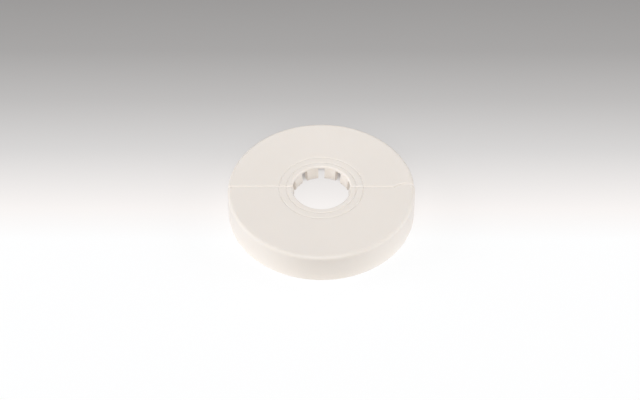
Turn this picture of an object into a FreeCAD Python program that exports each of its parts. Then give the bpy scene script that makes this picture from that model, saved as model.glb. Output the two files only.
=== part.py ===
"""Radiator pipe collar: two moulded half shells that hinge open, close round a pipe and snap shut.

The collar stands on its skirt with +Z along the pipe. The two halves meet on the XZ plane: the rear
half has +Y, the front half has -Y, the hinge is at +X and the snap at -X. All sizes are millimetres.
"""

import FreeCAD, Part
import math
import os
import Sketcher

# Driving dimensions: each is a cell of the sheet, known by its alias.
SIZES = {
    # Shell
    "base_diameter": 50.0,
    "collar_height": 8.4,
    "skirt_wall": 1.4,
    "skirt_draft": 1.0,
    "plate_thickness": 1.2,
    "rim_radius": 0.95,
    "seam_gap": 0.1,
    "seam_edge_radius": 0.65,
    # Pipe hole and its spring tongues
    "pipe_diameter": 15.0,
    "hole_clearance": 0.2,
    "hole_chamfer": 0.35,
    "grip_squeeze": 0.1,
    "grip_land": 0.8,
    "grip_lead_in": 0.6,
    "tongue_length": 3.2,
    "tongue_wall": 1.2,
    "slot_count": 10,
    "slot_width": 1.7,
    "slot_rise": 0.4,
    # Ring grooves round the hole
    "inner_ring_diameter": 18.6,
    "outer_ring_diameter": 22.4,
    "ring_width": 0.6,
    "ring_depth": 0.11,
    # Hinge: a pin under the front plate, held in an eye on an arm of the rear half, and a round
    # knuckle of the front plate that turns in a notch of the rear half
    "hinge_inset": 2.8,
    "hinge_offset": 3.0,
    "knuckle_turn": 6.0,
    "swing_clearance": 0.1,
    "pin_diameter": 1.3,
    "pin_clearance": 0.08,
    "pin_bead": 0.2,
    "pin_point": 1.1,
    "end_play": 0.1,
    "eye_wall": 0.55,
    "eye_floor": 2.2,
    "eye_clearance": 0.12,
    "arm_width": 1.8,
    "arm_reach": 5.0,
    "arm_root": 2.8,
    "arm_setback": 0.5,
    "arm_clearance": 0.25,
    # Snap: a hook on the front half behind a catch rib of the rear half
    "catch_depth": 1.2,
    "catch_wall": 1.2,
    "catch_setback": 1.0,
    "hook_floor": 2.5,
    "hook_wall": 1.0,
    "hook_gap": 0.2,
    "hook_play": 0.1,
    "hook_root": 2.4,
    "hook_span": 1.8,
    "barb_depth": 0.55,
    "barb_flat": 0.5,
    "barb_slope": 1.2,
}

REAR, FRONT = 1, -1
TOLERANCE = 1e-4


class Size:
    """A length with the expression that works it out from the sheet."""

    def __init__(self, value, text):
        self.value = value
        self.text = text

    @staticmethod
    def of(item):
        return item if isinstance(item, Size) else Size(float(item), repr(item))

    def __add__(self, other):
        other = Size.of(other)
        return Size(self.value + other.value, f"({self.text} + {other.text})")

    def __sub__(self, other):
        other = Size.of(other)
        return Size(self.value - other.value, f"({self.text} - {other.text})")

    def __mul__(self, other):
        other = Size.of(other)
        return Size(self.value * other.value, f"({self.text} * {other.text})")

    def __truediv__(self, other):
        other = Size.of(other)
        return Size(self.value / other.value, f"({self.text} / {other.text})")

    def __neg__(self):
        return Size(-self.value, f"(-1 * {self.text})")

    def root(self):
        return Size(math.sqrt(self.value), f"sqrt({self.text})")

    def tangent(self):
        return Size(math.tan(math.radians(self.value)), f"tan({self.text} * 1 deg)")


def cell(alias):
    return Size(float(SIZES[alias]), f"Sizes.{alias}")


NOUGHT = Size(0.0, "0")

# Shell
BASE_RADIUS = cell("base_diameter") / 2
HEIGHT = cell("collar_height")
SLOPE = cell("skirt_draft").tangent()
TOP_RADIUS = BASE_RADIUS - HEIGHT * SLOPE
PLATE_FLOOR = HEIGHT - cell("plate_thickness")
PLATE_MIDDLE = HEIGHT - cell("plate_thickness") / 2
INNER_RADIUS = BASE_RADIUS - cell("skirt_wall")
WALL_MIDDLE = BASE_RADIUS - cell("skirt_wall") / 2
HALF_GAP = cell("seam_gap") / 2

# Pipe hole
HOLE_RADIUS = cell("pipe_diameter") / 2 + cell("hole_clearance")
GRIP_RADIUS = cell("pipe_diameter") / 2 - cell("grip_squeeze")
TONGUE_TIP = PLATE_FLOOR - cell("tongue_length")

# Hinge
HINGE_X = BASE_RADIUS - cell("hinge_inset")
HINGE_Y = -cell("hinge_offset")
PIN_RADIUS = cell("pin_diameter") / 2
BORE_RADIUS = PIN_RADIUS + cell("pin_clearance")
EYE_RADIUS = BORE_RADIUS + cell("eye_wall")
ARM_TOP = PLATE_FLOOR - cell("arm_clearance")
ARM_HALF = cell("arm_width") / 2
UPRIGHT_X = HINGE_X - cell("arm_reach")

# The corner at the end of the front skirt swings about the hinge into the rear half's notch. The
# knuckle reaches as far as that corner, so that it fills the notch.
CORNER_SQUARE = cell("hinge_inset") * cell("hinge_inset")
KNUCKLE_RADIUS = (CORNER_SQUARE + cell("hinge_offset") * cell("hinge_offset")).root()
NOTCH_RADIUS = KNUCKLE_RADIUS + cell("swing_clearance")

# Snap
CATCH_TIP = INNER_RADIUS - cell("catch_depth")
CATCH_BACK = cell("catch_setback") + cell("catch_wall")
HOOK_OUTER = CATCH_TIP - cell("hook_gap")
HOOK_INNER = HOOK_OUTER - cell("hook_wall")
BARB_FACE = CATCH_BACK + cell("hook_play")


def make_sheet(doc):
    sheet = doc.addObject("Spreadsheet::Sheet", "Sizes")
    for row, (alias, number) in enumerate(SIZES.items(), 1):
        sheet.set(f"A{row}", alias.replace("_", " "))
        sheet.set(f"B{row}", str(number))
        sheet.setAlias(f"B{row}", alias)
    doc.recompute()


def origin_feature(body, role):
    return next(item for item in body.Origin.OriginFeatures if item.Role == role)


def make_sketch(body, name, role, offset=(NOUGHT, NOUGHT, NOUGHT)):
    """An empty sketch on one of the body's own planes, moved by offset in the plane's axes."""
    sketch = body.newObject("Sketcher::SketchObject", name)
    sketch.AttachmentSupport = [(origin_feature(body, role), "")]
    sketch.MapMode = "FlatFace"
    for axis, size in zip("xyz", offset):
        if size is not NOUGHT:
            sketch.setExpression(f"AttachmentOffset.Base.{axis}", size.text)
    return sketch


def hold(sketch, kind, axis, geometry, point, size):
    """Hold one coordinate of a sketch point at a size from the sheet."""
    if size is NOUGHT:
        sketch.addConstraint(Sketcher.Constraint("PointOnObject", geometry, point, axis))
        return
    index = sketch.addConstraint(Sketcher.Constraint(kind, -1, 1, geometry, point, size.value))
    name = f"{kind}_{geometry}"
    sketch.renameConstraint(index, name)
    sketch.setExpression(f"Constraints.{name}", size.text)


def draw_outline(sketch, corners, first_arc=None):
    """A closed outline with its corners at the given sizes.

    Its sides are straight, apart from the first where first_arc gives the (x, y, radius) of an arc
    that turns anticlockwise from the first corner to the second.
    """
    first = sketch.GeometryCount
    count = len(corners)
    places = [FreeCAD.Vector(x.value, y.value, 0) for x, y in corners]
    for index, place in enumerate(places):
        following = places[(index + 1) % count]
        if index == 0 and first_arc:
            sketch.addGeometry(arc_between(place, following, *first_arc))
        else:
            sketch.addGeometry(Part.LineSegment(place, following))
    for index in range(count):
        following = first + (index + 1) % count
        sketch.addConstraint(Sketcher.Constraint("Coincident", first + index, 2, following, 1))
    for index, (x, y) in enumerate(corners):
        hold(sketch, "DistanceX", -2, first + index, 1, x)
        hold(sketch, "DistanceY", -1, first + index, 1, y)
    if first_arc:
        hold_radius(sketch, first, first_arc[2])


def arc_between(start, end, x, y, radius):
    centre = FreeCAD.Vector(x.value, y.value, 0)
    angles = [math.atan2(place.y - centre.y, place.x - centre.x) for place in (start, end)]
    circle = Part.Circle(centre, FreeCAD.Vector(0, 0, 1), radius.value)
    return Part.ArcOfCircle(circle, *angles)


def hold_radius(sketch, geometry, radius):
    index = sketch.addConstraint(Sketcher.Constraint("Radius", geometry, radius.value))
    name = f"Radius_{geometry}"
    sketch.renameConstraint(index, name)
    sketch.setExpression(f"Constraints.{name}", radius.text)


def draw_box(sketch, x_low, x_high, y_low, y_high):
    draw_outline(sketch, [(x_low, y_low), (x_high, y_low), (x_high, y_high), (x_low, y_high)])


def draw_circle(sketch, x, y, radius):
    centre = FreeCAD.Vector(x.value, y.value, 0)
    index = sketch.addGeometry(Part.Circle(centre, FreeCAD.Vector(0, 0, 1), radius.value))
    hold(sketch, "DistanceX", -2, index, 3, x)
    hold(sketch, "DistanceY", -1, index, 3, y)
    hold_radius(sketch, index, radius)


def finish_feature(body, feature, adds):
    """Recompute, and make sure that the feature added or removed material as it should."""
    before = 0.0 if body.Shape.isNull() else body.Shape.Volume
    body.Document.recompute()
    change = body.Shape.Volume - before
    if change * (1 if adds else -1) <= TOLERANCE:
        raise ValueError(f"{feature.Label} changed the volume by {change:.4f}")
    return feature


def pad_up(body, sketch, name, length):
    pad = body.newObject("PartDesign::Pad", name)
    pad.Profile = sketch
    pad.setExpression("Length", length.text)
    return finish_feature(body, pad, True)


def pocket_up(body, sketch, name, length):
    pocket = body.newObject("PartDesign::Pocket", name)
    pocket.Profile = sketch
    pocket.Reversed = True
    pocket.setExpression("Length", length.text)
    return finish_feature(body, pocket, False)


def pocket_down(body, sketch, name, length):
    pocket = body.newObject("PartDesign::Pocket", name)
    pocket.Profile = sketch
    pocket.setExpression("Length", length.text)
    return finish_feature(body, pocket, False)


def round_edges(body, name, edges, radius):
    base = body.Tip
    fillet = body.newObject("PartDesign::Fillet", name)
    fillet.Base = (base, edges)
    fillet.setExpression("Radius", radius.text)
    return finish_feature(body, fillet, False)


def edge_names(shape, wanted):
    return [f"Edge{index}" for index, edge in enumerate(shape.Edges, 1) if wanted(edge)]


def revolve_shell(body, side):
    """Skirt, flat plate and the cone of the grip tongues, turned through half a circle."""
    sketch = make_sketch(body, "ShellProfile", "XZ_Plane")
    land_floor = TONGUE_TIP + cell("grip_lead_in")
    land_top = land_floor + cell("grip_land")
    draw_outline(sketch, [
        (BASE_RADIUS, NOUGHT),
        (TOP_RADIUS, HEIGHT),
        (HOLE_RADIUS, HEIGHT),
        (HOLE_RADIUS, PLATE_FLOOR),
        (GRIP_RADIUS, land_top),
        (GRIP_RADIUS, land_floor),
        (GRIP_RADIUS + cell("grip_lead_in") / 2, TONGUE_TIP),
        (GRIP_RADIUS + cell("tongue_wall"), TONGUE_TIP),
        (HOLE_RADIUS + cell("tongue_wall"), PLATE_FLOOR),
        (INNER_RADIUS - PLATE_FLOOR * SLOPE, PLATE_FLOOR),
        (INNER_RADIUS, NOUGHT),
    ])
    shell = body.newObject("PartDesign::Revolution", "Shell")
    shell.Profile = sketch
    shell.ReferenceAxis = (sketch, ["V_Axis"])
    shell.Angle = 180
    shell.Reversed = side == FRONT
    finish_feature(body, shell, True)


def trim_seam(body, side):
    """Half of the hairline gap between the two halves."""
    sketch = make_sketch(body, "SeamOutline", "XY_Plane")
    reach = BASE_RADIUS + cell("skirt_wall")
    draw_box(sketch, -reach, reach, NOUGHT, HALF_GAP * side)
    pocket_up(body, sketch, "SeamGap", HEIGHT)


def round_rim(body):
    """The rolled outer edge of the flat top."""

    def wanted(edge):
        if not isinstance(edge.Curve, Part.Circle):
            return False
        at_top = abs(edge.CenterOfMass.z - HEIGHT.value) < TOLERANCE
        return at_top and abs(edge.Curve.Radius - TOP_RADIUS.value) < TOLERANCE

    round_edges(body, "Rim", edge_names(body.Shape, wanted), cell("rim_radius"))


def round_seam(body):
    """The soft edge where the flat top and the skirt of the rear half meet the seam."""
    seam = HALF_GAP.value
    top = HEIGHT.value

    def wanted(edge):
        middle = edge.CenterOfMass
        straight = isinstance(edge.Curve, Part.Line)
        return straight and abs(middle.y - seam) < TOLERANCE and abs(middle.z - top) < TOLERANCE

    round_edges(body, "SeamEdge", edge_names(body.Shape, wanted), cell("seam_edge_radius"))


def groove_round(body, sketch, name):
    groove = body.newObject("PartDesign::Groove", name)
    groove.Profile = sketch
    groove.ReferenceAxis = (sketch, ["V_Axis"])
    groove.Angle = 360
    return finish_feature(body, groove, False)


def chamfer_hole(body):
    """The lead-in for the pipe at the top of the hole."""
    sketch = make_sketch(body, "HoleChamferProfile", "XZ_Plane")
    chamfer = cell("hole_chamfer")
    draw_outline(sketch, [
        (HOLE_RADIUS - chamfer, HEIGHT - chamfer),
        (HOLE_RADIUS, HEIGHT - chamfer),
        (HOLE_RADIUS + chamfer, HEIGHT),
        (HOLE_RADIUS - chamfer, HEIGHT),
    ])
    groove_round(body, sketch, "HoleChamfer")


def round_notch(body):
    """The soft edge of the seam, carried on round the notch by a turn about the hinge."""
    sketch = make_sketch(body, "NotchEdgeProfile", "XZ_Plane", (HINGE_X, NOUGHT, -HINGE_Y))
    radius = cell("seam_edge_radius")
    inside = NOTCH_RADIUS - radius
    outside = NOTCH_RADIUS + radius
    floor = HEIGHT - radius
    draw_outline(
        sketch,
        [(outside, HEIGHT), (NOTCH_RADIUS, floor), (inside, floor), (inside, HEIGHT)],
        first_arc=(outside, floor, radius),
    )
    groove_round(body, sketch, "NotchEdge")


def cut_rings(body):
    """Two fine ring grooves in the flat top, round the hole."""
    sketch = make_sketch(body, "RingProfile", "XZ_Plane")
    half = cell("ring_width") / 2
    depth = cell("ring_depth")
    for alias in ("inner_ring_diameter", "outer_ring_diameter"):
        radius = cell(alias) / 2
        draw_outline(sketch, [
            (radius - half, HEIGHT),
            (radius, HEIGHT - depth),
            (radius + half, HEIGHT),
            (radius, HEIGHT + depth),
        ])
    groove_round(body, sketch, "Rings")


def cut_slots(body, side):
    """Slots that part the cone below the plate into spring tongues and rise into the plate."""
    top = PLATE_FLOOR + cell("slot_rise")
    sketch = make_sketch(body, "SlotOutline", "XY_Plane", (NOUGHT, NOUGHT, top))
    half = cell("slot_width") / 2
    inner = GRIP_RADIUS - cell("tongue_wall")
    outer = HOLE_RADIUS + cell("tongue_wall") * 1.5
    draw_box(sketch, -half, half, inner * side, outer * side)
    slot = pocket_down(body, sketch, "Slot", top - TONGUE_TIP + cell("slot_rise"))
    pattern = body.newObject("PartDesign::PolarPattern", "Slots")
    pattern.Originals = [slot]
    pattern.Axis = (origin_feature(body, "Z_Axis"), [""])
    pattern.Angle = 360
    pattern.setExpression("Occurrences", "Sizes.slot_count")
    body.Tip = pattern
    finish_feature(body, pattern, False)


def make_half(doc, name, side, shape_hinge_end):
    body = doc.addObject("PartDesign::Body", name)
    body.Label = name
    revolve_shell(body, side)
    trim_seam(body, side)
    shape_hinge_end(body)
    round_rim(body)
    if side == REAR:
        round_seam(body)
        round_notch(body)
    chamfer_hole(body)
    cut_rings(body)
    cut_slots(body, side)
    return body


def cut_notch(body):
    """Room at the end of the rear seam for the knuckle and the front skirt to swing in."""
    sketch = make_sketch(body, "NotchOutline", "XY_Plane")
    draw_circle(sketch, HINGE_X, HINGE_Y, NOTCH_RADIUS)
    pocket_up(body, sketch, "Notch", HEIGHT)


def add_knuckle(body):
    """The round end of the front plate, flush with its top, that fills the rear half's notch."""
    profile = make_sketch(body, "KnuckleProfile", "XZ_Plane")
    draw_outline(profile, [
        (HINGE_X - KNUCKLE_RADIUS, PLATE_FLOOR),
        (BASE_RADIUS - PLATE_FLOOR * SLOPE, PLATE_FLOOR),
        (TOP_RADIUS, HEIGHT),
        (HINGE_X - KNUCKLE_RADIUS, HEIGHT),
    ])
    blank = body.newObject("PartDesign::Revolution", "KnuckleBlank")
    blank.Profile = profile
    blank.ReferenceAxis = (profile, ["V_Axis"])
    blank.Midplane = True
    blank.setExpression("Angle", "Sizes.knuckle_turn * 2")
    finish_feature(body, blank, True)

    sketch = make_sketch(body, "KnuckleOutline", "XY_Plane", (NOUGHT, NOUGHT, PLATE_FLOOR))
    rise = cell("hinge_offset") - HALF_GAP
    chord = (KNUCKLE_RADIUS * KNUCKLE_RADIUS - rise * rise).root()
    far_left = HINGE_X - KNUCKLE_RADIUS * 2
    far_right = BASE_RADIUS + KNUCKLE_RADIUS
    draw_outline(
        sketch,
        [
            (HINGE_X + chord, -HALF_GAP),
            (HINGE_X - chord, -HALF_GAP),
            (far_left, -HALF_GAP),
            (far_left, KNUCKLE_RADIUS),
            (far_right, KNUCKLE_RADIUS),
            (far_right, -HALF_GAP),
        ],
        first_arc=(HINGE_X, HINGE_Y, KNUCKLE_RADIUS),
    )
    pocket_up(body, sketch, "Knuckle", cell("plate_thickness"))


def add_hinge_arm(body):
    """An arm under the plates of both halves, with the eye for the hinge pin at its end."""
    floor = cell("eye_floor")
    left = UPRIGHT_X - ARM_HALF
    right = UPRIGHT_X + ARM_HALF
    root_start = cell("arm_setback")
    root_end = root_start + cell("arm_root")
    lift = (NOUGHT, NOUGHT, floor)

    root = make_sketch(body, "ArmRootOutline", "XY_Plane", lift)
    draw_box(root, left, right, root_start, root_end)
    pad_up(body, root, "ArmRoot", PLATE_MIDDLE - floor)

    arm = make_sketch(body, "ArmOutline", "XY_Plane", lift)
    draw_outline(arm, [
        (left, HINGE_Y - ARM_HALF),
        (HINGE_X, HINGE_Y - ARM_HALF),
        (HINGE_X, HINGE_Y + ARM_HALF),
        (right, HINGE_Y + ARM_HALF),
        (right, root_end),
        (left, root_end),
    ])
    pad_up(body, arm, "Arm", ARM_TOP - floor)

    eye = make_sketch(body, "EyeOutline", "XY_Plane", lift)
    draw_circle(eye, HINGE_X, HINGE_Y, EYE_RADIUS)
    pad_up(body, eye, "Eye", ARM_TOP - floor)

    bore = make_sketch(body, "EyeBoreOutline", "XY_Plane", lift)
    draw_circle(bore, HINGE_X, HINGE_Y, BORE_RADIUS)
    pocket_up(body, bore, "EyeBore", ARM_TOP - floor)


def add_catch(body):
    """The rib inside the rear skirt that the hook snaps behind."""
    floor = cell("hook_floor")
    sketch = make_sketch(body, "CatchOutline", "XY_Plane", (NOUGHT, NOUGHT, floor))
    draw_box(sketch, -WALL_MIDDLE, -CATCH_TIP, cell("catch_setback"), CATCH_BACK)
    pad_up(body, sketch, "Catch", PLATE_MIDDLE - floor)


def clear_hinge(body):
    """Thin the front skirt from inside where the eye turns."""
    sketch = make_sketch(body, "HingeRoomOutline", "XY_Plane")
    room = EYE_RADIUS + cell("eye_clearance")
    draw_outline(
        sketch,
        [
            (HINGE_X, HINGE_Y - room),
            (HINGE_X + room, HINGE_Y),
            (HINGE_X + room, NOUGHT),
            (HINGE_X, NOUGHT),
        ],
        first_arc=(HINGE_X, HINGE_Y, room),
    )
    pocket_up(body, sketch, "HingeRoom", PLATE_FLOOR)


def add_hinge_pin(body):
    """The pin under the front plate, with a bead that keeps the eye on."""
    sketch = make_sketch(body, "PinProfile", "XZ_Plane", (HINGE_X, NOUGHT, -HINGE_Y))
    neck = cell("eye_floor") - cell("end_play")
    bead = PIN_RADIUS + cell("pin_bead")
    shoulder = neck - cell("pin_bead")
    draw_outline(sketch, [
        (NOUGHT, neck - cell("pin_point")),
        (PIN_RADIUS - cell("pin_bead"), neck - cell("pin_point")),
        (bead, shoulder - cell("pin_bead")),
        (bead, shoulder),
        (PIN_RADIUS, neck),
        (PIN_RADIUS, PLATE_MIDDLE),
        (NOUGHT, PLATE_MIDDLE),
    ])
    pin = body.newObject("PartDesign::Revolution", "HingePin")
    pin.Profile = sketch
    pin.ReferenceAxis = (sketch, ["V_Axis"])
    pin.Angle = 360
    finish_feature(body, pin, True)


def add_hook(body):
    """A springy arm that crosses the seam, with a barb behind the catch rib."""
    floor = cell("hook_floor")
    lift = (NOUGHT, NOUGHT, floor)
    root_front = -cell("hook_span") - cell("hook_root")
    tip = BARB_FACE + cell("barb_flat") + cell("barb_slope")
    barb = HOOK_OUTER + cell("barb_depth")

    root = make_sketch(body, "HookRootOutline", "XY_Plane", lift)
    draw_box(root, -WALL_MIDDLE, -HOOK_INNER, root_front, -cell("hook_span"))
    pad_up(body, root, "HookRoot", PLATE_MIDDLE - floor)

    hook = make_sketch(body, "HookOutline", "XY_Plane", lift)
    draw_outline(hook, [
        (-HOOK_INNER, root_front),
        (-HOOK_INNER, tip),
        (-HOOK_OUTER, tip),
        (-barb, BARB_FACE + cell("barb_flat")),
        (-barb, BARB_FACE),
        (-HOOK_OUTER, BARB_FACE),
        (-HOOK_OUTER, root_front),
    ])
    pad_up(body, hook, "Hook", ARM_TOP - floor)


def check_document(doc, bodies):
    for item in doc.Objects:
        if {"Invalid", "Error"} & set(item.State):
            raise ValueError(f"{item.Label} failed: {item.State}")
    for body in bodies:
        if body.Shape.isNull() or not body.Shape.isValid() or len(body.Shape.Solids) != 1:
            raise ValueError(f"{body.Label} is not one valid solid")


def main():
    doc = FreeCAD.newDocument("PipeCollar")
    make_sheet(doc)

    rear = make_half(doc, "rear_half", REAR, cut_notch)
    add_hinge_arm(rear)
    add_catch(rear)

    front = make_half(doc, "front_half", FRONT, add_knuckle)
    clear_hinge(front)
    add_hinge_pin(front)
    add_hook(front)

    doc.recompute()
    check_document(doc, (rear, front))
    os.makedirs("parts", exist_ok=True)
    for body in (rear, front):
        body.Shape.exportStep(f"parts/{body.Label}.step")
        box = body.Shape.optimalBoundingBox()
        extent = f"{box.XLength:.2f} x {box.YLength:.2f} x {box.ZLength:.2f} mm"
        print(f"{body.Label}: {extent}, {body.Shape.Volume:.1f} mm3")


main()
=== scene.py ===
"""Looks of the radiator pipe collar: two moulded half shells that close round a pipe.

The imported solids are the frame, in metres: the skirt stands on z = 0, the pipe runs along +Z and the
seam along X, with the hinge at +X. The camera side is -Y.
"""
import math

import bpy
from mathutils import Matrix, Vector


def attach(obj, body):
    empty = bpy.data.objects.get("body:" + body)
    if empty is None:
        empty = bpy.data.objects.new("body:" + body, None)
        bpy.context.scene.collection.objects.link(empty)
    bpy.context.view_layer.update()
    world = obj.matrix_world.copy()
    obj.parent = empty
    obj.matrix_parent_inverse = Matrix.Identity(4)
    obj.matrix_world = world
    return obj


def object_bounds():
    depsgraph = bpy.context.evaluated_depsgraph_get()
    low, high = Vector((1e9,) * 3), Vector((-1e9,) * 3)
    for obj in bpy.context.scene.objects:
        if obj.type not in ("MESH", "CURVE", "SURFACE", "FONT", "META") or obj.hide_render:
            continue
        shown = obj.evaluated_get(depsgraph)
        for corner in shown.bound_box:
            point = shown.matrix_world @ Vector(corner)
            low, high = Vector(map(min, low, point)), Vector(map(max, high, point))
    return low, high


MM = 0.001

# The photograph's frame and the camera fitted to it
IMAGE_WIDTH = 640
IMAGE_HEIGHT = 400
FOCAL_PIXELS = 1186.0
TOP_CENTRE_PIXEL = (321.4, 187.07)
CAMERA_ELEVATION = math.radians(45.88)
CAMERA_DISTANCE = 314.5 * MM
NEAREST_SEEN = 1 * MM
SENSOR_WIDTH_MM = 36.0

# Polypropylene: shades left by its flow in the mould, the mould's grain, and scatter below the skin
FLOW_SHADES = ("#E8E0D7", "#EDE5DC")
FLOW_WIDTH = 14 * MM
FLOW_DETAIL = 2.0
GRAIN_WIDTH = 0.35 * MM
GRAIN_DETAIL = 3.0
GRAIN_HEIGHT = 0.03 * MM
GRAIN_STRENGTH = 0.12
GRAIN_ROUGHNESS = (0.42, 0.54)
POLYPROPYLENE_IOR = 1.49
SCATTER_WEIGHT = 0.15
SCATTER_TINT = (1.0, 0.9, 0.75)
SCATTER_REACH = 0.8 * MM

# Ejector marks: the pads that the mould's pins leave on the hidden side of the plate
PLATE_THICKNESS = 1.2 * MM
MARK_COUNT = 4
MARK_SIDES = 40
MARK_DIAMETER = 3.2 * MM
MARK_EDGE = 0.12 * MM
MARK_HEIGHT = 0.12 * MM
MARK_ROOT = 0.1 * MM
MARK_ARC_RADIUS = 15.5 * MM
MARK_ARC = math.radians(96)

# Each row of marks: its name, the half that carries it, and the angle of its first mark
MARK_ARCS = (
    ("rear_ejector_marks", "rear_half", math.radians(42)),
    ("front_ejector_marks", "front_half", math.radians(222)),
)

# Floor: half its width, and how far it lies below the skirt's edge
FLOOR_HALF_SIZE = 2.0
FLOOR_DROP = 0.02 * MM

# Floor: the paper's shades by distance behind the collar's axis
SWEEP_SPAN = 200 * MM
SWEEP_STOPS = (
    (-11 * MM, "#FFFFFF"),
    (0 * MM, "#FAF6F4"),
    (23 * MM, "#D9D7D6"),
    (44 * MM, "#C0BEBD"),
    (67 * MM, "#A9A7A6"),
    (95 * MM, "#9C9A99"),
)

# Floor: the light that it throws on the collar, by distance from the collar's axis
BOUNCE_SPAN = 60 * MM
BOUNCE_STOPS = (
    (18 * MM, 0.6),
    (25 * MM, 0.9),
    (38 * MM, 0.38),
)

# Floor: the share of its look that is its own glow, in the open, in the hole and under the rear half
# FLOOR_GLOW also covers the floor under the front half, painted light where that half shades it
FLOOR_GLOW = 0.85
# In the hole the glow is painted light, which keeps floor bright that the collar shades
HOLE_GLOW = 0.95
HOLLOW_GLOW = 0.25

# Floor: where the glow starts and ends to change, by distance from the axis, or along X or Y
HOLE_EDGE = (11.3 * MM, 13.1 * MM)
# The gleam edges bound a painted gleam: extra glow on the floor behind the back slot, standing in for
# light
GLEAM_EDGE_X = (0.9 * MM, 1.4 * MM)
GLEAM_EDGE = (14.2 * MM, 16.4 * MM)
SKIRT_EDGE = (23.6 * MM, 24.6 * MM)
REAR_EDGE_Y = (-2 * MM, 2 * MM)

# Lights: the even light of the tent, and the tent as the camera and gloss see it
TENT_LEVEL = 0.1
BACKDROP_LEVEL = 0.4

# Lights: the width of a soft box as a share of its distance
SOFTBOX_SPREAD = 0.56

# Each soft box: name, azimuth and elevation in degrees, distance in metres, level, colour, and gloss
SOFTBOXES = (
    ("front_softbox", -4, 42, 3.0, 0.69, "#FFFFFF", True),
    ("left_softbox", -88, 18, 0.8, 0.68, "#F4F8FF", False),
    ("right_softbox", 92, 16, 0.8, 0.63, "#F4F8FF", False),
    ("top_softbox", 180, 54, 0.28, 0.19, "#FFFFFF", True),
)


def linear_colour(hex_colour):
    """Turn an sRGB hex value into the linear colour that sockets take."""
    channels = [int(hex_colour[start:start + 2], 16) / 255 for start in (1, 3, 5)]
    linear = [
        value / 12.92 if value <= 0.04045 else ((value + 0.055) / 1.055) ** 2.4
        for value in channels
    ]
    return (*linear, 1.0)


def add_node(tree, kind, inputs=None, **settings):
    """Add a node, set its properties, and fill its sockets with values or links."""
    node = tree.nodes.new(kind)
    for name, value in settings.items():
        setattr(node, name, value)
    for name, value in (inputs or {}).items():
        socket = node.inputs[name]
        if isinstance(value, bpy.types.NodeSocket):
            tree.links.new(value, socket)
        else:
            socket.default_value = value
    return node


def set_stops(ramp, stops):
    """Give a colour ramp these stops, each a place from 0 to 1 and a colour, and no others."""
    elements = ramp.color_ramp.elements
    elements.remove(elements[1])
    for place, colour in stops:
        elements.new(place).color = colour
    elements.remove(elements[0])


def new_material(name):
    """Return a material with an empty node tree, and the tree."""
    material = bpy.data.materials.new(name)
    material.use_nodes = True
    material.node_tree.nodes.clear()
    return material, material.node_tree


def polypropylene_moulded():
    """Warm white polypropylene as it leaves a finely spark eroded mould.

    It scatters light a little below the skin, so edges look soft, and the satin grain spreads
    highlights into broad pale patches. The real grain is under 0.1 mm wide and too fine to show, so
    it is drawn about four times as coarse.
    """
    material, tree = new_material("polypropylene_satin_moulded")
    place = add_node(tree, "ShaderNodeTexCoord")
    flow = add_node(tree, "ShaderNodeTexNoise", {
        "Vector": place.outputs["Object"], "Scale": 1 / FLOW_WIDTH, "Detail": FLOW_DETAIL,
    })
    colour = add_node(tree, "ShaderNodeMix", {
        "Factor": flow.outputs["Fac"],
        "A": linear_colour(FLOW_SHADES[0]), "B": linear_colour(FLOW_SHADES[1]),
    }, data_type="RGBA")
    grain = add_node(tree, "ShaderNodeTexNoise", {
        "Vector": place.outputs["Object"], "Scale": 1 / GRAIN_WIDTH, "Detail": GRAIN_DETAIL,
    })
    roughness = add_node(tree, "ShaderNodeMapRange", {
        "Value": grain.outputs["Fac"], "To Min": GRAIN_ROUGHNESS[0], "To Max": GRAIN_ROUGHNESS[1],
    })
    bump = add_node(tree, "ShaderNodeBump", {
        "Height": grain.outputs["Fac"], "Strength": GRAIN_STRENGTH, "Distance": GRAIN_HEIGHT,
    })
    shader = add_node(tree, "ShaderNodeBsdfPrincipled", {
        "Base Color": colour.outputs["Result"],
        "Roughness": roughness.outputs["Result"],
        "Normal": bump.outputs["Normal"],
        "IOR": POLYPROPYLENE_IOR,
        "Subsurface Weight": SCATTER_WEIGHT,
        "Subsurface Radius": SCATTER_TINT,
        "Subsurface Scale": SCATTER_REACH,
    })
    add_node(tree, "ShaderNodeOutputMaterial", {"Surface": shader.outputs["BSDF"]})
    return material


def ejector_mark_tree(material):
    """Geometry nodes that set low round pads along an arc under a plate."""
    tree = bpy.data.node_groups.new("ejector_marks", "GeometryNodeTree")
    tree.interface.new_socket("Geometry", in_out="INPUT", socket_type="NodeSocketGeometry")
    for name in ("Mark count", "Mark sides"):
        tree.interface.new_socket(name, in_out="INPUT", socket_type="NodeSocketInt")
    for name in ("Arc radius", "First angle", "Arc angle", "Face radius", "Root radius", "Depth", "Level"):
        tree.interface.new_socket(name, in_out="INPUT", socket_type="NodeSocketFloat")
    tree.interface.new_socket("Geometry", in_out="OUTPUT", socket_type="NodeSocketGeometry")
    sizes = add_node(tree, "NodeGroupInput").outputs
    arc = add_node(tree, "GeometryNodeCurveArc", {
        "Resolution": sizes["Mark count"], "Radius": sizes["Arc radius"],
        "Start Angle": sizes["First angle"], "Sweep Angle": sizes["Arc angle"],
    }, mode="RADIUS")
    pad = add_node(tree, "GeometryNodeMeshCone", {
        "Vertices": sizes["Mark sides"], "Depth": sizes["Depth"],
        "Radius Bottom": sizes["Face radius"], "Radius Top": sizes["Root radius"],
    })
    row = add_node(tree, "GeometryNodeInstanceOnPoints", {
        "Points": arc.outputs["Curve"], "Instance": pad.outputs["Mesh"],
    })
    rise = add_node(tree, "ShaderNodeCombineXYZ", {"Z": sizes["Level"]})
    placed = add_node(tree, "GeometryNodeTransform", {
        "Geometry": row.outputs["Instances"], "Translation": rise.outputs["Vector"],
    })
    whole = add_node(tree, "GeometryNodeRealizeInstances", {"Geometry": placed.outputs["Geometry"]})
    painted = add_node(tree, "GeometryNodeSetMaterial", {
        "Geometry": whole.outputs["Geometry"], "Material": material,
    })
    add_node(tree, "NodeGroupOutput", {"Geometry": painted.outputs["Geometry"]})
    return tree


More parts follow.
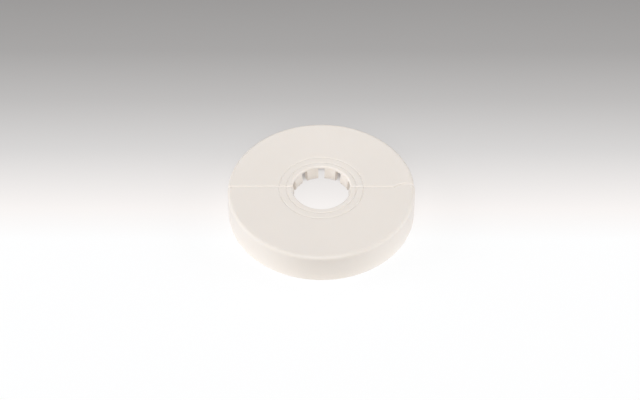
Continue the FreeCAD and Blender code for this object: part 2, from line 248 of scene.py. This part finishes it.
def make_ejector_marks(material, plate_underside):
    """Put a row of ejector marks under the plate of each half, with their roots sunk into it."""
    tree = ejector_mark_tree(material)
    sockets = {item.name: item.identifier for item in tree.interface.items_tree if item.in_out == "INPUT"}
    for name, body, first_angle in MARK_ARCS:
        piece = bpy.data.objects.new(name, bpy.data.meshes.new(name))
        bpy.context.scene.collection.objects.link(piece)
        modifier = piece.modifiers.new("ejector_marks", "NODES")
        modifier.node_group = tree
        modifier[sockets["Mark count"]] = MARK_COUNT
        modifier[sockets["Mark sides"]] = MARK_SIDES
        modifier[sockets["Arc radius"]] = MARK_ARC_RADIUS
        modifier[sockets["First angle"]] = first_angle
        modifier[sockets["Arc angle"]] = MARK_ARC
        modifier[sockets["Face radius"]] = MARK_DIAMETER / 2 - MARK_EDGE
        modifier[sockets["Root radius"]] = MARK_DIAMETER / 2
        modifier[sockets["Depth"]] = MARK_HEIGHT + MARK_ROOT
        modifier[sockets["Level"]] = plate_underside - MARK_HEIGHT
        evaluated = piece.evaluated_get(bpy.context.evaluated_depsgraph_get())
        mesh = bpy.data.meshes.new_from_object(evaluated)
        piece.modifiers.remove(modifier)
        piece.data = mesh
        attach(piece, body)


def seen_share(tree):
    """Return a socket that is 1 for what the camera, gloss and glass see, and 0 for other light."""
    rays = add_node(tree, "ShaderNodeLightPath")
    direct = add_node(tree, "ShaderNodeMath", {
        0: rays.outputs["Is Camera Ray"], 1: rays.outputs["Is Glossy Ray"],
    }, operation="MAXIMUM")
    seen = add_node(tree, "ShaderNodeMath", {
        0: direct.outputs[0], 1: rays.outputs["Is Transmission Ray"],
    }, operation="MAXIMUM")
    return seen.outputs[0]


def sweep_shade(tree, behind):
    """Return the paper's colour: white near the camera, shaded to grey behind the collar."""
    depth = add_node(tree, "ShaderNodeMapRange", {
        "Value": behind, "From Min": -SWEEP_SPAN, "From Max": SWEEP_SPAN,
    })
    shade = add_node(tree, "ShaderNodeValToRGB", {"Fac": depth.outputs["Result"]})
    set_stops(shade, [
        (0.5 + distance / SWEEP_SPAN / 2, linear_colour(hex_colour))
        for distance, hex_colour in SWEEP_STOPS
    ])
    return shade.outputs["Color"]


def glow_strength(tree, reach):
    """Return the strength of the paper's glow: 1 as it is seen, and less as light on the collar."""
    spread = add_node(tree, "ShaderNodeMapRange", {
        "Value": reach, "From Min": 0.0, "From Max": BOUNCE_SPAN,
    })
    bounce = add_node(tree, "ShaderNodeValToRGB", {"Fac": spread.outputs["Result"]})
    set_stops(bounce, [
        (distance / BOUNCE_SPAN, (level, level, level, 1.0)) for distance, level in BOUNCE_STOPS
    ])
    strength = add_node(tree, "ShaderNodeMapRange", {
        "Value": seen_share(tree), "To Min": bounce.outputs["Color"], "To Max": 1.0,
    })
    return strength.outputs["Result"]


def glow_share(tree, across, behind, reach):
    """Return the share of the paper's look that is its own glow. The rest takes light and shadow.

    The hollow under the rear half gets little glow, so the slots stay dark, apart from a painted gleam:
    extra glow on the floor behind the back slot. The floor in the hole glows almost fully, painted light
    where the collar shades it. The open floor keeps a shadow, and the floor under the front half glows as
    it does, painted light where that half shades it.
    """
    # Painted light: the floor in the hole glows almost fully, though the collar shades it
    hole = add_node(tree, "ShaderNodeMapRange", {
        "Value": reach, "From Min": HOLE_EDGE[0], "From Max": HOLE_EDGE[1],
        "To Min": HOLE_GLOW, "To Max": HOLLOW_GLOW,
    })
    # Painted gleam: extra glow on the floor behind the back slot, which stands in for light through it
    aside = add_node(tree, "ShaderNodeMath", {0: across}, operation="ABSOLUTE")
    gleam_width = add_node(tree, "ShaderNodeMapRange", {
        "Value": aside.outputs[0], "From Min": GLEAM_EDGE_X[0], "From Max": GLEAM_EDGE_X[1],
        "To Min": HOLE_GLOW, "To Max": 0.0,
    })
    gleam_length = add_node(tree, "ShaderNodeMapRange", {
        "Value": reach, "From Min": GLEAM_EDGE[0], "From Max": GLEAM_EDGE[1],
        "To Min": 1.0, "To Max": 0.0,
    })
    gleam = add_node(tree, "ShaderNodeMath", {
        0: gleam_width.outputs["Result"], 1: gleam_length.outputs["Result"],
    }, operation="MULTIPLY")
    inside = add_node(tree, "ShaderNodeMath", {
        0: hole.outputs["Result"], 1: gleam.outputs[0],
    }, operation="MAXIMUM")
    past_skirt = add_node(tree, "ShaderNodeMapRange", {
        "Value": reach, "From Min": SKIRT_EDGE[0], "From Max": SKIRT_EDGE[1],
    })
    # Painted light: the camera side glows like the open floor, also under the front half, which shades it
    front = add_node(tree, "ShaderNodeMapRange", {
        "Value": behind, "From Min": REAR_EDGE_Y[0], "From Max": REAR_EDGE_Y[1],
        "To Min": 1.0, "To Max": 0.0,
    })
    open_or_camera_side = add_node(tree, "ShaderNodeMath", {
        0: past_skirt.outputs["Result"], 1: front.outputs["Result"],
    }, operation="MAXIMUM")
    outside = add_node(tree, "ShaderNodeMath", {
        0: open_or_camera_side.outputs[0], 1: FLOOR_GLOW,
    }, operation="MULTIPLY")
    share = add_node(tree, "ShaderNodeMath", {
        0: inside.outputs[0], 1: outside.outputs[0],
    }, operation="MAXIMUM")
    return share.outputs[0]


def floor_sweep():
    """Studio paper lit from behind, so that it is pale without more light on the collar.

    It is see-through from below, so that the hollow side of the collar can be seen.
    """
    material, tree = new_material("floor_sweep_paper")
    place = add_node(tree, "ShaderNodeTexCoord")
    axes = add_node(tree, "ShaderNodeSeparateXYZ", {"Vector": place.outputs["Object"]})
    across = axes.outputs["X"]
    behind = axes.outputs["Y"]
    ground = add_node(tree, "ShaderNodeCombineXYZ", {"X": across, "Y": behind})
    length = add_node(tree, "ShaderNodeVectorMath", {0: ground.outputs["Vector"]}, operation="LENGTH")
    reach = length.outputs["Value"]
    shade = sweep_shade(tree, behind)
    lit = add_node(tree, "ShaderNodeBsdfDiffuse", {"Color": shade})
    glow = add_node(tree, "ShaderNodeEmission", {"Color": shade, "Strength": glow_strength(tree, reach)})
    paper = add_node(tree, "ShaderNodeMixShader", {
        0: glow_share(tree, across, behind, reach), 1: lit.outputs["BSDF"], 2: glow.outputs["Emission"],
    })
    side = add_node(tree, "ShaderNodeNewGeometry")
    clear = add_node(tree, "ShaderNodeBsdfTransparent")
    one_sided = add_node(tree, "ShaderNodeMixShader", {
        0: side.outputs["Backfacing"], 1: paper.outputs["Shader"], 2: clear.outputs["BSDF"],
    })
    add_node(tree, "ShaderNodeOutputMaterial", {"Surface": one_sided.outputs["Shader"]})
    return material


def make_floor():
    """Lay a wide plain floor just below the skirt's edge."""
    mesh = bpy.data.meshes.new("floor")
    corners = [
        (x * FLOOR_HALF_SIZE, y * FLOOR_HALF_SIZE, -FLOOR_DROP)
        for x, y in ((-1, -1), (1, -1), (1, 1), (-1, 1))
    ]
    mesh.from_pydata(corners, [], [(0, 1, 2, 3)])
    mesh.materials.append(floor_sweep())
    floor = bpy.data.objects.new("floor", mesh)
    bpy.context.scene.collection.objects.link(floor)


def add_softbox(name, azimuth, elevation, distance, level, hex_colour, gloss):
    """Hang a square soft box that faces the collar.

    Azimuth 0 is the camera side and 90 the hinge side. The level is what the box adds to a white
    surface that faces it, where 1 is white. Without gloss the box gives no glare, as behind a
    polarising filter.
    """
    light = bpy.data.lights.new(name, "AREA")
    light.color = linear_colour(hex_colour)[:3]
    light.size = SOFTBOX_SPREAD * distance
    # The light that arrives is the power divided by pi and the distance squared, and white paper that
    # it falls on looks as bright as that light divided by pi
    light.energy = level * math.pi ** 2 * distance ** 2
    lamp = bpy.data.objects.new(name, light)
    turn = math.radians(azimuth)
    rise = math.radians(elevation)
    aim = Vector((math.cos(rise) * math.sin(turn), -math.cos(rise) * math.cos(turn), math.sin(rise)))
    lamp.visible_camera = False
    lamp.visible_glossy = gloss
    lamp.location = aim * distance
    lamp.rotation_euler = aim.to_track_quat("Z", "Y").to_euler()
    bpy.context.scene.collection.objects.link(lamp)


def light_studio():
    """Set a pale tent of even light round the collar, and hang the soft boxes."""
    world = bpy.data.worlds.new("tent")
    bpy.context.scene.world = world
    world.use_nodes = True
    tree = world.node_tree
    tree.nodes.clear()
    level = add_node(tree, "ShaderNodeMapRange", {
        "Value": seen_share(tree), "To Min": TENT_LEVEL, "To Max": BACKDROP_LEVEL,
    })
    backing = add_node(tree, "ShaderNodeBackground", {
        "Color": linear_colour("#FFFFFF"), "Strength": level.outputs["Result"],
    })
    add_node(tree, "ShaderNodeOutputWorld", {"Surface": backing.outputs["Background"]})
    for softbox in SOFTBOXES:
        add_softbox(*softbox)


def add_camera(collar_height):
    """Stand the camera where the photograph was taken from.

    It is turned so that the centre of the collar's flat top falls on its pixel in the photograph.
    """
    data = bpy.data.cameras.new("camera")
    data.sensor_width = SENSOR_WIDTH_MM
    data.lens = FOCAL_PIXELS * SENSOR_WIDTH_MM / IMAGE_WIDTH
    data.clip_start = NEAREST_SEEN
    camera = bpy.data.objects.new("camera", data)
    camera.location = (
        0,
        -CAMERA_DISTANCE * math.cos(CAMERA_ELEVATION),
        collar_height + CAMERA_DISTANCE * math.sin(CAMERA_ELEVATION),
    )
    right = math.atan((TOP_CENTRE_PIXEL[0] - IMAGE_WIDTH / 2) / FOCAL_PIXELS)
    above = math.atan((IMAGE_HEIGHT / 2 - TOP_CENTRE_PIXEL[1]) / FOCAL_PIXELS)
    camera.rotation_euler = (
        math.pi / 2 - CAMERA_ELEVATION - above,
        0,
        right / math.cos(CAMERA_ELEVATION),
    )
    bpy.context.scene.collection.objects.link(camera)
    bpy.context.scene.camera = camera


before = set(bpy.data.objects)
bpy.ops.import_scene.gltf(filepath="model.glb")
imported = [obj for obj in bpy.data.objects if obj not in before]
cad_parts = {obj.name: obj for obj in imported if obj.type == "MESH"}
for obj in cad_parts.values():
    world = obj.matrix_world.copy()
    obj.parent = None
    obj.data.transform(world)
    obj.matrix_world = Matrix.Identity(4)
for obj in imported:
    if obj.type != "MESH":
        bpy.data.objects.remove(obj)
cad_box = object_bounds()
collar_height = cad_box[1].z
plastic = polypropylene_moulded()
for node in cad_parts.values():
    node.data.materials[0] = plastic
make_ejector_marks(plastic, collar_height - PLATE_THICKNESS)
make_floor()
light_studio()
add_camera(collar_height)
bpy.context.scene.view_settings.view_transform = "Standard"
